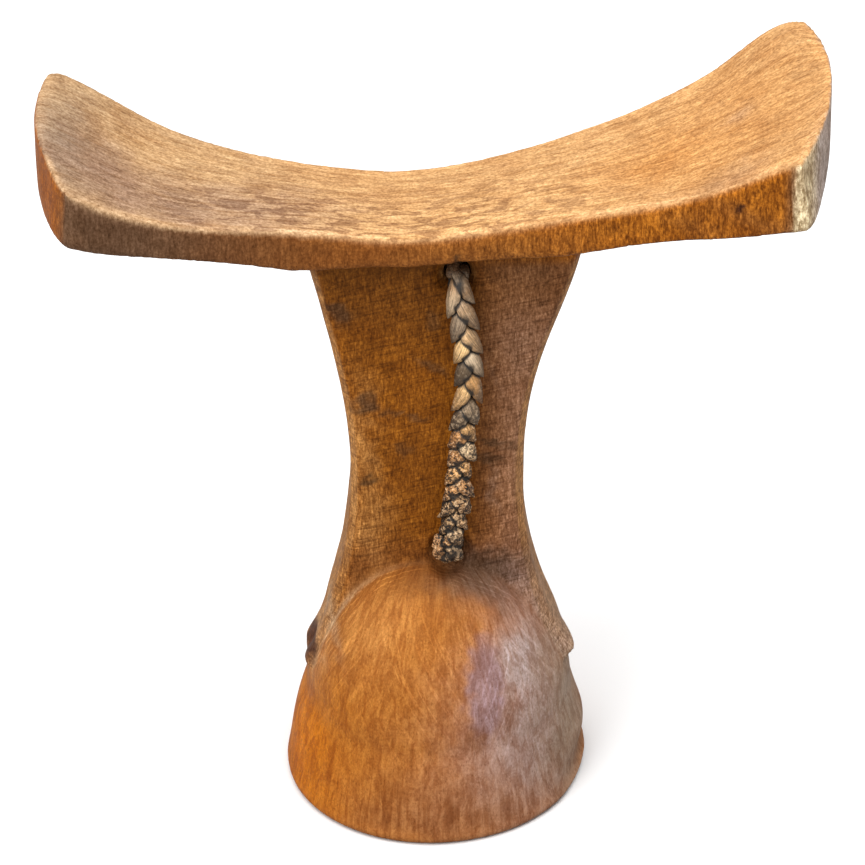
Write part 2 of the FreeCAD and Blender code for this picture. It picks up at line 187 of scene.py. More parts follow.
# swellings: centre, reach, and the way the surface is drawn
swells = {
    "leftEndLow": ((-92, -12, 175), (7, 20, 8), (-0.8, 0, -0.2)),
    "leftCornerLow": ((-86, -25, 168), (9, 10, 5), (-1.3, -0.4, -2.6)),
    "leftBackEdge": ((-70, 20, 187), (16, 9, 8), (-0.1, 0.2, 0.9)),
    "middleBackEdge": ((-34, 18, 170), (16, 9, 6), (0, 0.1, 0.45)),
    "rightBackEdge": ((42, 21.5, 175), (20, 10, 10), (0, 0.2, 0.95)),
    "undersideLeft": ((-58, -20, 163), (14, 10, 4), (0, 0, 0.5)),
    "rightEndLow": ((94, -16, 184), (5, 16, 12), (1, 0, 0)),
    "rightCornerLow": ((90, -33, 177), (6, 7, 5), (1.1, 0, -1.5)),
    "undersideMiddle": ((-33, -17, 158), (10, 10, 4.5), (0, 0, -2.2)),
    "undersideRight": ((36, -19, 160.5), (12, 10, 4.5), (0, 0, -1.7)),
    "undersideFarRight": ((72, -31, 173), (18, 9, 5), (0, 0, -0.8)),
    "rightHornBack": ((71, 24, 192), (6, 9, 9), (0, 0, -0.7)),
    "rightHornTop": ((83, 24, 198), (9, 9, 6), (0.3, 0.3, 1.2)),
    "columnRight": ((24, 0, 118), (8, 14, 26), (0.35, 0, 0)),
    "columnLeft": ((-24, 0, 130), (8, 14, 18), (-0.3, 0, 0)),
    "columnLeftLow": ((-22, 0, 98), (8, 14, 15), (0.25, 0, 0)),
    "waistLowRight": ((28, 0, 52), (8, 14, 7), (-0.3, 0, 0)),
    "waistLowLeft": ((-32, 5, 43), (8, 8, 6), (1, 0, 0)),
    "finEndLeft": ((-36, 0, 35), (6, 9, 3.5), (-0.6, 0, 0)),
    "finBackRight": ((36, 8, 35.5), (6, 6.5, 4.5), (-1.9, 0, 0)),
    "finEndRight": ((36.5, -4, 34), (6, 10, 4), (0.6, 0, 2.9)),
    "footRightUpper": ((38.5, -2, 11), (7, 14, 5), (1.3, 0, 0)),
    "footLeftHigh": ((-41, -4, 15), (9, 16, 8), (-0.8, 0, 0)),
    "footLeftTop": ((-38, 0, 28), (7, 14, 4), (1.2, 0, 0)),
    "footLeftLow": ((-34, -20, 2), (12, 12, 8), (-0.7, -0.4, 0)),
    "footFrontLeft": ((-20, -35, 2), (20, 12, 12), (-0.35, -1.1, 0)),
}

strapHoles = ((6.7, 151.5), (3.6, 71.5))   # x and z of each hole's centre line, in millimetres


def fromHoles(points):
    # the distance to the nearer hole's centre line
    return np.min([np.hypot(points[:, 0] - x, points[:, 2] - z) for x, z in strapHoles], axis=0)


def evenMesh(source, name, size):
    # the source's shape cut into small even faces and drawn back onto it
    thing = newObject(name, source.data)
    remesh = thing.modifiers.new("evenFaces", "REMESH")
    remesh.mode = "VOXEL"
    remesh.voxel_size = size / 1000
    onto = thing.modifiers.new("ontoSource", "SHRINKWRAP")
    onto.target = source
    mesh = bpy.data.meshes.new_from_object(thing.evaluated_get(bpy.context.evaluated_depsgraph_get()))
    mesh.name = name
    bpy.data.objects.remove(thing)
    for layer in [layer for layer in mesh.attributes if layer.name == "sharp_face"]:
        mesh.attributes.remove(layer)
    smoothFaces(mesh)
    return mesh


def meshEdges(mesh):
    edges = np.empty(len(mesh.edges) * 2, dtype=np.int32)
    mesh.edges.foreach_get("vertices", edges)
    return edges.reshape(-1, 2)


def softened(points, edges, rounds, share):
    # each round moves a vertex by the share of the way to its neighbours' mean; the holes keep their size
    share = (share * smoothStep(fromHoles(points), *block["holeRim"]))[:, None]
    for _ in range(rounds):
        points = points + share * (meanOfNeighbours(points, edges) - points)
    return points


def remeshedCopy(nodeName, name):
    # the CAD node's loose triangles joined, worn on a fine mesh, and cut anew into the finished faces
    joined = bmesh.new()
    joined.from_mesh(bpy.data.objects[nodeName].data)
    bmesh.ops.remove_doubles(joined, verts=joined.verts, dist=1e-6)
    blank = bpy.data.meshes.new(name + "Blank")
    joined.to_mesh(blank)
    joined.free()
    solid = newObject(name + "Solid", blank)
    fine = evenMesh(solid, name + "Fine", block["fineGrid"])
    points = readPoints(fine)
    placePoints(fine, softened(points, meshEdges(fine), block["fineRounds"], np.full(len(points), 0.3)))
    worn = newObject(name + "Worn", fine)
    mesh = evenMesh(worn, name, block["grid"])
    for thing in (solid, worn):
        bpy.data.objects.remove(thing)
    for used in (blank, fine):
        bpy.data.meshes.remove(used)
    return mesh


# the wood's colours, in linear light
woodColours = {
    "seat": (0.59, 0.322, 0.132),
    "seatCream": (0.515, 0.31, 0.15),
    "seatPale": (0.64, 0.36, 0.15),
    "seatPink": (0.34, 0.2, 0.128),
    "seatGrey": (0.27, 0.195, 0.14),
    "seatGold": (0.62, 0.28, 0.08),
    "band": (0.31, 0.102, 0.02),
    "bandOrange": (0.47, 0.146, 0.012),
    "bandBrown": (0.16, 0.082, 0.044),
    # painted warm glow on the seat's left end wall
    "endWarmGlow": (0.405, 0.11, 0.002),
    "endCream": (0.78, 0.6, 0.36),
    "endGrey": (0.5, 0.38, 0.32),
    # painted shade: the darker colour of the saddle's downward faces
    "under": (0.2, 0.07, 0.016),
    "column": (0.33, 0.1, 0.0075),
    # painted shadow of the saddle on the column's top; also the colour of one dark patch low on the column
    "columnDarkAndShadow": (0.225, 0.07, 0.007),
    # painted cool shade on the column's right beside the strap; also the colour of its scratches
    "columnGreyAndCoolShade": (0.345, 0.18, 0.106),
    "arris": (0.62, 0.29, 0.085),
    "arrisPale": (0.62, 0.4, 0.22),
    "dome": (0.495, 0.166, 0.024),
    # painted highlight on the pale wedge of the dome's front
    "domeHighlightPale": (0.64, 0.27, 0.072),
    "domeTop": (0.235, 0.07, 0.01),
    # painted warm glow on the dome's left side
    "domeWarmGlow": (0.7, 0.195, 0.001),
    # the mauve, purple, blue and grey dome colours below are painted cool sheen, reflection and highlight
    # on the dome's right; the grey is also painted shade under the strap's foot
    "domeMauveSheen": (0.53, 0.375, 0.34),
    "domeBrown": (0.4, 0.17, 0.072),
    "domePurpleSheen": (0.385, 0.235, 0.245),
    "domeBlueHighlight": (0.66, 0.54, 0.52),
    "domeGreyCoolLightAndShade": (0.41, 0.3, 0.22),
    # near black: a dark mottle and a crack, and painted shade in the holes' bores
    "nearBlackAndShade": (0.03, 0.019, 0.012),
    # real stains, and also painted shadow of the strap's foot and painted shade in the holes' mouths
    "stainAndShadow": (0.1, 0.052, 0.028),
    "knot": (0.075, 0.02, 0.01),
}

# stains, worn patches and scratches, and painted shadows, glows, highlights and sheens: centre, reach,
# colour, strength, and the turn that makes one lean
patches = {
    "bruise": ((-70.8, -17.2, 178.9), (3.6, 2.6, 3), "seatPink", 0.55),
    "leftEndGrey": ((-87, -6, 187), (8, 17, 10), "seatGrey", 0.82),
    "leftPink": ((-76, -8, 182), (12, 11, 7), "seatPink", 0.85),
    "leftFrontPink": ((-56, -16, 174), (22, 7, 6), "seatPink", 0.75),
    "leftPaleBack": ((-66, 9, 178), (18, 7, 6), "seatPale", 0.35),
    "middlePink": ((-42, -8, 169), (17, 7, 5), "seatPink", 0.72),
    "rightTan": ((56, -4, 178), (14, 9, 7), "seatGold", 0.75),
    "bandPale": ((22, -19, 160), (10, 4, 4), "arris", 0.15),
    "rightGold": ((76, -2, 187), (18, 26, 12), "seatGold", 0.6),
    "seatFrontPale": ((-2, -11, 166), (40, 3.5, 3.5), "seatPale", 0.4),
    "rightSmudge": ((76, 2, 188), (3.4, 3, 2.5), "seatPink", 0.5),
    "rightBandPink": ((66, -26, 186), (16, 3.5, 4), "seatPink", 0.35),
    "bandDark": ((74, -32, 178), (9, 6, 2.4), "bandBrown", 0.3, -20),
    "bandDarkLeft": ((62, -28, 174), (7, 6, 2), "bandBrown", 0.22, -20),
    "scratchOne": ((15, -10, 90), (0.7, 3, 7), "columnGreyAndCoolShade", 0.8, 12),
    "scratchTwo": ((12, -10, 128), (0.7, 3, 8), "columnGreyAndCoolShade", 0.6, 22),
    "columnLeftPale": ((-17.5, -10, 105), (2.8, 3, 11), "arris", 0.6),
    "columnLowPale": ((-17, -10, 77), (4, 3, 8), "arris", 0.65),
    "columnLowDark": ((-5, -10, 90), (5, 3, 16), "columnDarkAndShadow", 0.4),
    "domeTop": ((0, -14, 66), (20, 6, 5.5), "domeTop", 1),
    # painted shade and shadow of the strap's foot on the dome's crown, in this line and the next
    "strapFootShade": ((12, -12.5, 67), (6.5, 4, 3.5), "domeGreyCoolLightAndShade", 0.5),
    "strapFootShadowDark": ((5, -12.5, 67.5), (5, 4.5, 1.6), "stainAndShadow", 0.55),
    "crownStainRight": ((17, -13, 61), (8, 4, 3.4), "stainAndShadow", 0.55),
    "knotRim": ((-32.5, -3, 39.5), (4.2, 7, 5.6), "arrisPale", 0.75),
    "finLeftPale": ((-27, -9, 50), (1.6, 6, 10), "arrisPale", 0.85, 22),
    "finRightPale": ((29, -9, 47), (1.6, 6, 9), "arris", 0.7, -22),
    # painted shadow to the right of the strap's foot
    "strapFootShadowRight": ((15, -14, 65), (8, 5, 3.6), "bandBrown", 0.65),
    "crownDark": ((-8, -12, 68), (13, 3, 3), "domeTop", 0.8),
    # painted shadow behind the strap's foot
    "strapShadowBehind": ((11, -12.5, 66), (5.5, 4, 3.2), "stainAndShadow", 0.55),
    "domeShoulderLeft": ((-25, -13, 51), (5, 6, 9), "domeTop", 0.55, 25),
    # painted highlight: the pale wedge on the dome's front, in this line and the next
    "domeLitWedge": ((-15, -21, 53), (8.5, 8, 9.5), "domeHighlightPale", 0.62, 28),
    "domeLitWedgeRight": ((0, -27, 46), (3.5, 8, 9), "domeHighlightPale", 0.45, -25),
    # painted cool sheen on the dome's right: mauve and grey reflection with a blue-grey highlight, in this
    # line and the next three
    "domeMauveSheen": ((23, -24, 42), (8, 13, 15), "domeMauveSheen", 0.9),
    "domeBlueHighlight": ((21.5, -20, 46), (3.4, 6, 5), "domeBlueHighlight", 0.4),
    "domeMauveSheenLow": ((24, -28, 19), (14, 13, 14), "domeMauveSheen", 0.88),
    "domeGreyCoolLightAndShade": ((36, -12, 24), (8, 18, 22), "domeGreyCoolLightAndShade", 0.9),
    "domeSmudge": ((32, -19, 16), (3.6, 4, 3), "stainAndShadow", 0.26),
    "domeRidge": ((19, -30, 30), (1.2, 6, 10), "domeTop", 0.45, 18),
    # painted warm glow on the dome's left side
    "domeLeftWarmGlow": ((-37, -12, 14), (9, 20, 15), "domeWarmGlow", 0.9),
    "domeBrownLow": ((8, -38, 7), (22, 8, 8), "domeBrown", 0.7),
}

# the same with a crisp, ragged rim
crispPatches = {
    "bandPit": ((72.6, -30.7, 180.1), (1, 2.5, 1.1), "knot", 0.9, -25),
    "bandCrack": ((6.9, -17.8, 158.8), (0.5, 3, 2.6), "nearBlackAndShade", 0.7),
    "mottleTopLeft": ((-21.7, -10, 141.1), (2.6, 3, 3.2), "stainAndShadow", 0.72, 20),
    "mottleLeft": ((-16.5, -10, 115.4), (2.9, 3, 2.7), "stainAndShadow", 0.78, -20),
    "mottleLowLeft": ((-16.2, -10, 92.6), (2.4, 3, 1.3), "nearBlackAndShade", 0.72, 10),
    "smudgeMiddle": ((-7, -10, 111.6), (6, 3, 0.9), "stainAndShadow", 0.55, -12),
    "smudgeUpper": ((0.6, -10, 125.4), (5.4, 3, 1), "stainAndShadow", 0.55, -32),
    "smudgeLow": ((-7.6, -10, 101.5), (1.9, 3, 2.2), "stainAndShadow", 0.4),
    "smudgeRight": ((15.5, -10, 103.2), (5, 3, 1), "stainAndShadow", 0.62, -8),
    "smudgeRightLow": ((13.6, -10, 98.4), (3.6, 3, 0.9), "stainAndShadow", 0.52),
    "smudgeStrap": ((0.6, -10, 139), (2.2, 3, 2.6), "stainAndShadow", 0.4),
    # painted cool sheen on the dome's right
    "domePurpleSheen": ((12, -28, 40), (4.4, 9, 13), "domePurpleSheen", 0.8),
    "domeRed": ((10, -33, 28), (2, 5, 4), "domeTop", 0.5, 15),
    "knotHole": ((-33.2, -1.5, 38.6), (3.6, 9, 4.4), "knot", 0.95, 12),
    "knotHoleLow": ((-35.5, -0.5, 33.2), (2.2, 6, 1.5), "knot", 0.85),
}


def saddleShape(points):
    # read off the block: the saddle's half depth and the way along its curved top, at even steps along x
    onSaddle = points[points[:, 2] > block["saddleFrom"]]
    steps = np.linspace(onSaddle[:, 0].min(), onSaddle[:, 0].max(), block["slices"] + 1)
    slot = np.digitize(onSaddle[:, 0], steps[1:-1])
    depth = np.array([np.abs(onSaddle[slot == number, 1]).max() for number in range(block["slices"])])
    height = np.array([onSaddle[slot == number, 2].max() for number in range(block["slices"])])
    middle = (steps[:-1] + steps[1:]) / 2
    way = np.r_[0, np.cumsum(np.hypot(np.diff(middle), np.diff(height)))]
    return middle, depth, height, way


def onFoot(y, z):
    # 1 on the dome in front of and behind the column, and all round below the fins
    proud = smoothStep(np.abs(y), 9.6, 10.6)
    return np.maximum(proud, 1 - smoothStep(z, 32.5, 35.5)) * (1 - smoothStep(z, 66, 72))


def layered(tone, *layers):
    # drawn towards one colour after another, each by its share
    for towards, share in layers:
        towards = woodColours[towards] if isinstance(towards, str) else towards
        tone = mix(np.array(tone), np.array(towards), share)
    return tone


def woodTone(points, normals, worn):
    # each vertex's colour: the colours of the parts that it lies on, weighted by its place and by the way
    # it faces, then drawn towards each patch's colour
    x, y, z = points.T
    onSaddle = smoothStep(z, 153, 156.5)
    faceUp = smoothStep(normals[:, 2], 0.35, 0.75)
    faceSide = smoothStep(np.abs(normals[:, 0]), 0.55, 0.85)
    inDome = onFoot(y, z)

    band = layered(
        woodColours["bandBrown"], ("band", smoothStep(x, -75, -15)), ("bandOrange", smoothStep(x, -15, 66)),
        ("bandBrown", 0.6 * bump(points, (84, -35, 184), (0.9, 6, 30))),
        ("endCream", smoothStep(x, 84.4, 85.2)))
    seat = layered(woodColours["seatCream"], ("seat", smoothStep(x, -60, -5)))
    wallRight = layered(woodColours["endCream"], ("endGrey", smoothStep(x, 88, 92)))
    wall = layered(
        # painted warm glow: the left end wall is drawn orange
        woodColours["endWarmGlow"], (wallRight, (x > 0).astype(float)),
        ("bandBrown", bump(points, (-84, -26, 170), (2.6, 3, 11))))
    saddle = layered(
        # painted shade: faces turned down take the darker underside colour
        band, (seat, faceUp), ("under", smoothStep(-normals[:, 2], 0.5, 0.9)),
        (wall, faceSide * smoothStep(np.abs(x), 76, 84)))

    greyShare = 0.65 - 0.45 * smoothStep(z, 132, 148) + 0.15 * smoothStep(z, 75, 95)
    tone = layered(
        # painted shadow: the column's top is darkened as the saddle's shadow
        woodColours["column"], ("columnDarkAndShadow", smoothStep(z, 118, 146)),
        # painted cool shade: the column's right side beside the strap is greyed
        ("columnGreyAndCoolShade", smoothStep(x, 6, 22) * greyShare), ("dome", inDome),
        ("arris", (1 - onSaddle) * faceSide * (1 - inDome) * 0.7), (saddle, onSaddle))
    ragged = points + 0.7 * np.column_stack([waves(points, 3.5, seed) for seed in (101, 102, 103)])
    drifting = ragged + 1.3 * np.column_stack([waves(points, 13, seed) for seed in (104, 105, 106)])
    for centre, reach, name, strength, *turn in patches.values():
        shown = faceUp if name.startswith("seat") else 1     # the seat's own stains stay on the seat
        tone = layered(tone, (name, shown * strength * bump(drifting, centre, reach, *turn)))
    for centre, reach, name, strength, *turn in crispPatches.values():
        tone = layered(tone, (name, strength * smoothStep(bump(ragged, centre, reach, *turn), 0.35, 0.8)))

    # a pale line where the dome rises from the left fin
    seam = np.exp(-((np.abs(y) - 10.6) / 0.5) ** 2) * bump(points, (-25, -10.6, 54), (9, 3, 12))

    # the front arris of the seat is rubbed pale, most at the left
    rubbed = smoothStep(worn, 0.16, 0.34) * onSaddle * smoothStep(-y, 12, 15)
    rubbed = rubbed * smoothStep(normals[:, 2], 0.1, 0.4)
    rubbed = rubbed * (0.55 - 0.35 * smoothStep(x, -45, -15))
    tone = layered(tone, ("arrisPale", 0.7 * seam), ("arrisPale", rubbed))
    tone = tone * (1 + 0.45 * np.clip(worn, -0.5, 0.3))[:, None]
    # painted shade: the holes' bores are drawn near black and their mouths darker
    fromHole = fromHoles(points)
    for name, strength, low, high in (("stainAndShadow", 0.2, 3.4, 6), ("nearBlackAndShade", 0.9, 2.7, 3.6)):
        tone = layered(tone, (name, strength * (1 - smoothStep(fromHole, low, high)) * (np.abs(y) < 14)))
    return np.clip(tone, 0.008, 0.95), faceUp * onSaddle


# where each kind of mark shows: strength, centre, reach
marked = {
    "leanLeft": ((1, (-5, -26, 42), (9, 14, 16)), (1, (24, -20, 44), (6, 9, 9))),
    "leanRight": ((1, (-24, -20, 44), (7, 12, 14)), (1, (17, -28, 38), (6, 10, 14))),
    "lined": ((1, (-14, -36, 8), (19, 14, 9)), (0.6, (20, -34, 8), (10, 12, 5))),
    "grooved": ((1, (-10, -12.5, 64), (15, 2.2, 9)), (1, (-27, -12, 50), (4, 2.2, 11)),
                (0.5, (18, -12.5, 62), (9, 2.2, 6))),
    "patchy": ((1, (-28, -11, 166), (34, 8, 9)), (0.5, (20, -10, 166), (16, 9, 7))),
}


def carvedBlock():
    mesh = remeshedCopy("carved_body", "carvedBlock")
    points = readPoints(mesh)
    edges = meshEdges(mesh)
    rounded = np.zeros(len(points))
    for centre, reach, share in roundings.values():
        rounded = np.maximum(rounded, share * bump(points, centre, reach))
    points = softened(points, edges, block["rounds"], 0.6 * rounded)
    placePoints(mesh, points)
    normals = readVectors(mesh.vertex_normals, "vector")
    height = np.zeros(len(points))
    for number, (length, rise) in enumerate(block["unevenness"]):
        height += rise * waves(points, length, block["seed"] + number)
    awayFromHoles = smoothStep(fromHoles(points), *block["holeRim"])
    height *= smoothStep(points[:, 2], 0.5, 5) * awayFromHoles   # the foot stays flat underneath
    for centre, reach, depth in dents.values():
        height -= depth * bump(points, centre, reach)
    points += normals * height[:, None]
    for centre, reach, way in swells.values():
        points += bump(points, centre, reach)[:, None] * np.array(way)
    points[:, 2] = np.maximum(points[:, 2], 0)
    placePoints(mesh, points)

    # worn: how far a vertex stands out from its surroundings, so edges are positive and grooves negative
    normals = readVectors(mesh.vertex_normals, "vector")
    around = points
    for _ in range(block["wornRounds"][0]):
        around = meanOfNeighbours(around, edges)
    worn = ((points - around) * normals).sum(1)[:, None]
    for _ in range(block["wornRounds"][1]):
        worn = meanOfNeighbours(worn, edges)
    worn = worn[:, 0]
    tone, lengthwise = woodTone(points, normals, worn)
    paint(mesh, "woodTone", tone)
    paint(mesh, "lengthwise", lengthwise)

    # grain: on the saddle along its curve, across it with lines that part as it widens, and down; on the
    # foot round it and up
    middle, depth, top, way = saddleShape(points)
    x, y, z = points.T
    grain = np.column_stack([
        np.interp(x, middle, way), block["halfDepth"] * y / np.interp(x, middle, depth),
        np.interp(x, middle, top) - z])
    footGrain = np.column_stack([block["footRadius"] * np.arctan2(x, np.abs(y)), 0 * x, z])
    grain = mix(grain, footGrain, (z < 75).astype(float))
    paint(mesh, "grain", grain / 1000)

    # zones: the column, the foot, and where the seat is mottled
    inFoot = onFoot(y, z)
    inColumn = (1 - smoothStep(z, 150, 156)) * (1 - inFoot)
    patchy = 0.3 + summedBumps(points, marked["patchy"])
    paint(mesh, "zones", np.column_stack([inColumn, inFoot, np.clip(patchy, 0, 1) * lengthwise]))

    # how strongly flecks and upright fibres show: least on the foot and on the left of the saddle's front
    onBand = (1 - inColumn) * (1 - inFoot) * (1 - lengthwise)
    bandShare = 0.55 + 0.45 * smoothStep(x, -20, 50)
    paint(mesh, "flecked", (1 - 0.85 * inFoot) * (1 - 0.45 * lengthwise) * (1 - onBand * (1 - bandShare)))
    paint(mesh, "fibrous", onBand * bandShare + 0.65 * inColumn)

    # marks: how strongly the scraper's lines that lean left and right and the dark upright lines show
    marks = [summedBumps(points, marked[name]) for name in ("leanLeft", "leanRight", "lined")]
    paint(mesh, "marks", np.column_stack(marks))
    paint(mesh, "grooved", summedBumps(points, marked["grooved"]))
    thing = newObject("carvedBlock", mesh)
    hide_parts("carved_body")
    print("carved block", len(points), "vertices")
    return thing


def newMaterial(name):
    material = bpy.data.materials.new(name)
    material.use_nodes = True
    return material, material.node_tree, material.node_tree.nodes["Principled BSDF"]


def setInputs(tree, node, inputs):
    # each socket takes another node's output or a plain value
    for name, source in inputs.items():
        if isinstance(source, bpy.types.NodeSocket):
            tree.links.new(source, node.inputs[name])
        else:
            node.inputs[name].default_value = source


def addNode(tree, kind, inputs=None, **settings):
    node = tree.nodes.new("ShaderNode" + kind)
    for name, setting in settings.items():
        setattr(node, name, setting)
    setInputs(tree, node, inputs or {})
    return node


def attributeOf(tree, name, output="Fac"):
    return addNode(tree, "Attribute", attribute_name=name).outputs[output]


def parted(tree, vector):
    return addNode(tree, "SeparateXYZ", {0: vector}).outputs


def objectPlace(tree):
    return addNode(tree, "TexCoord").outputs["Object"]


def noise(tree, vector, scale, detail, roughness, distortion=0):
    return addNode(tree, "TexNoise", {
        "Vector": vector, "Scale": scale, "Detail": detail, "Roughness": roughness,
        "Distortion": distortion}).outputs["Fac"]


def ramp(tree, source, low, high, start=0, end=1):
    inputs = {"Value": source, "From Min": low, "From Max": high, "To Min": start, "To Max": end}
    return addNode(tree, "MapRange", inputs).outputs["Result"]


def maths(tree, operation, first, second=0):
    return addNode(tree, "Math", {0: first, 1: second}, operation=operation).outputs[0]


def times(tree, first, *others):
    for other in others:
        first = maths(tree, "MULTIPLY", first, other)
    return first


def bumped(tree, height, strength, distance):
    return addNode(tree, "Bump", {"Height": height, "Strength": strength, "Distance": distance}).outputs[0]


def blend(tree, share, first, second, kind="MIX"):
    inputs = {0: share, 6: first, 7: second}
    return addNode(tree, "Mix", inputs, data_type="RGBA", blend_type=kind).outputs[2]


def choose(tree, share, first, second):
    return addNode(tree, "Mix", {0: share, 2: first, 3: second}, data_type="FLOAT").outputs[0]


def tinted(tree, share, colour, factor):
    # the colour multiplied by a factor for red, green and blue, as far as the share says
    return blend(tree, share, colour, (*factor, 1), "MULTIPLY")


# the wood's noises: counts to the metre along x, y and z, detail, roughness, distortion, whether each
# follows the grain or its place, and the degrees by which it leans
woodNoises = {
    "streaks": ((70, 900, 100), 4, 0.6, 0.3, "grain"),
    "seatFlecks": ((480, 2300, 900), 3, 0.6, 0.3, "grain"),
    "seatPatches": ((150, 360, 200), 3.5, 0.6, 0.8, "grain"),
    "sideFlecks": ((2100, 2100, 620), 3.5, 0.62, 0.35, "place"),
    "fibres": ((1300, 1300, 260), 3, 0.6, 0.5, "place"),
    "footStrokes": ((900, 1, 160), 3.5, 0.6, 0.6, "grain"),
    "footClouds": ((330, 1, 140), 4, 0.65, 1, "grain"),
    "seatPores": ((900, 3400, 900), 2, 0.5, 0, "grain"),
    "sidePores": ((3400, 3400, 800), 2, 0.5, 0, "place"),
    "mottle": ((85, 85, 85), 4, 0.6, 0.6, "place"),
    "speckle": ((1500, 1500, 1500), 2, 0.6, 0, "place"),
    "blotches": ((240, 240, 144), 5, 0.7, 0.4, "place"),
    "scratches": ((150, 150, 2100), 2, 0.5, 0.3, "place", 14),
    "scraperLeft": ((900, 1, 60), 1.5, 0.5, 0.15, "grain", 32),
    "scraperRight": ((900, 1, 60), 1.5, 0.5, 0.15, "grain", -30),
    "flames": ((800, 1, 45), 2, 0.5, 0.3, "grain"),
}
woodLook = {
    "roughness": (0.4, 0.6),
    "specular": 0.24,
    "specularTint": (1, 0.68, 0.36, 1),
    "grooveSpacing": 0.0012,
    "grooveWobble": 0.0035,
    "relief": (0.4, 0.00035),   # strength and depth
}


def woodMaterial():
    material, tree, shader = newMaterial("wornWood")
    lengthwise = attributeOf(tree, "lengthwise")
    inColumn, inFoot, patchy = parted(tree, attributeOf(tree, "zones", "Vector"))
    leanLeft, leanRight, lined = parted(tree, attributeOf(tree, "marks", "Vector"))
    place = objectPlace(tree)
    followed = {"grain": attributeOf(tree, "grain", "Vector"), "place": place}
    found = {}
    for name, (scale, detail, roughness, distortion, source, *lean) in woodNoises.items():
        turn = {"Vector": followed[source], "Rotation": (0, math.radians(sum(lean)), 0)}
        stretch = {"Vector": addNode(tree, "Mapping", turn).outputs[0], "Scale": scale}
        vector = addNode(tree, "Mapping", stretch).outputs[0]
        found[name] = noise(tree, vector, 1, detail, roughness, distortion)
    found["flecks"] = choose(tree, lengthwise, found["sideFlecks"], found["seatFlecks"])
    found["pores"] = choose(tree, lengthwise, found["sidePores"], found["seatPores"])
    fleckShare = attributeOf(tree, "flecked")
    fibreShare = attributeOf(tree, "fibrous")
    speckleShare = ramp(tree, inFoot, 0, 1, 1, 0.55)

    # each layer darkens or lightens the colour where its noise passes from one value to the other
    colour = attributeOf(tree, "woodTone", "Color")
    for name, low, high, share, factor in (
        ("streaks", 0.5, 0.36, lengthwise, (0.8, 0.73, 0.65)),
        ("streaks", 0.52, 0.66, lengthwise, (1.16, 1.22, 1.28)),
        ("seatPatches", 0.51, 0.55, patchy, (0.67, 0.62, 0.62)),
        ("seatPatches", 0.49, 0.44, patchy, (1.14, 1.19, 1.22)),
        ("blotches", 0.5, 0.42, fibreShare, (0.78, 0.74, 0.71)),
        ("blotches", 0.52, 0.6, fibreShare, (1.17, 1.19, 1.18)),
        ("fibres", 0.49, 0.42, fibreShare, (0.66, 0.6, 0.52)),
        ("fibres", 0.52, 0.6, fibreShare, (1.3, 1.37, 1.42)),
        ("scratches", 0.57, 0.65, inColumn, (0.66, 0.63, 0.63)),
        ("scratches", 0.43, 0.35, inColumn, (1.2, 1.26, 1.34)),
        ("footStrokes", 0.5, 0.4, inFoot, (0.9, 0.84, 0.78)),
        ("footStrokes", 0.54, 0.64, inFoot, (1.09, 1.13, 1.17)),
        ("footClouds", 0.5, 0.44, inFoot, (0.82, 0.75, 0.7)),
        ("footClouds", 0.52, 0.58, inFoot, (1.1, 1.14, 1.16)),
        ("flecks", 0.49, 0.38, fleckShare, (0.66, 0.61, 0.56)),
        ("flecks", 0.51, 0.62, fleckShare, (1.26, 1.3, 1.36)),
        ("speckle", 0.48, 0.38, speckleShare, (0.8, 0.76, 0.72)),
        ("speckle", 0.52, 0.62, speckleShare, (1.2, 1.24, 1.28)),
        ("mottle", 0.46, 0.68, 0.6, (0.86, 0.78, 0.72)),
        ("pores", 0.6, 0.7, 0.6, (0.45, 0.38, 0.32)),
        ("scraperLeft", 0.56, 0.62, leanLeft, (1.28, 1.36, 1.46)),
        ("scraperRight", 0.56, 0.62, leanRight, (1.28, 1.36, 1.46)),
    ):
        colour = tinted(tree, times(tree, ramp(tree, found[name], low, high), share), colour, factor)

    # grooves round the crown: thin stripes in how far the foot stands out from the column
    wobble = times(tree, found["mottle"], woodLook["grooveWobble"])
    outward = maths(tree, "ADD", parted(tree, place)[1], wobble)
    turns = maths(tree, "DIVIDE", outward, woodLook["grooveSpacing"] / fullTurn)
    stripes = times(
        tree, ramp(tree, maths(tree, "SINE", turns), 0.35, 0.95), attributeOf(tree, "grooved"),
        ramp(tree, found["blotches"], 0.44, 0.54))
    colour = tinted(tree, stripes, colour, (1.6, 1.75, 1.9))

    # dark upright lines near the foot's lower edge
    flames = times(tree, ramp(tree, found["flames"], 0.5, 0.6), lined, 0.75)
    colour = tinted(tree, flames, colour, (0.66, 0.54, 0.44))

    relief = 0
    for share, *sources in ((0.5, found["flecks"]), (-0.3, found["pores"]), (-0.6, stripes),
                            (0.6, found["streaks"], lengthwise), (0.2, found["footStrokes"], inFoot)):
        relief = maths(tree, "ADD", relief, times(tree, *sources, share))
    setInputs(tree, shader, {
        "Base Color": colour, "Roughness": ramp(tree, found["mottle"], 0.3, 0.7, *woodLook["roughness"]),
        "Specular IOR Level": woodLook["specular"], "Specular Tint": woodLook["specularTint"],
        "Normal": bumped(tree, relief, *woodLook["relief"])})
    print("wood material")
    return material


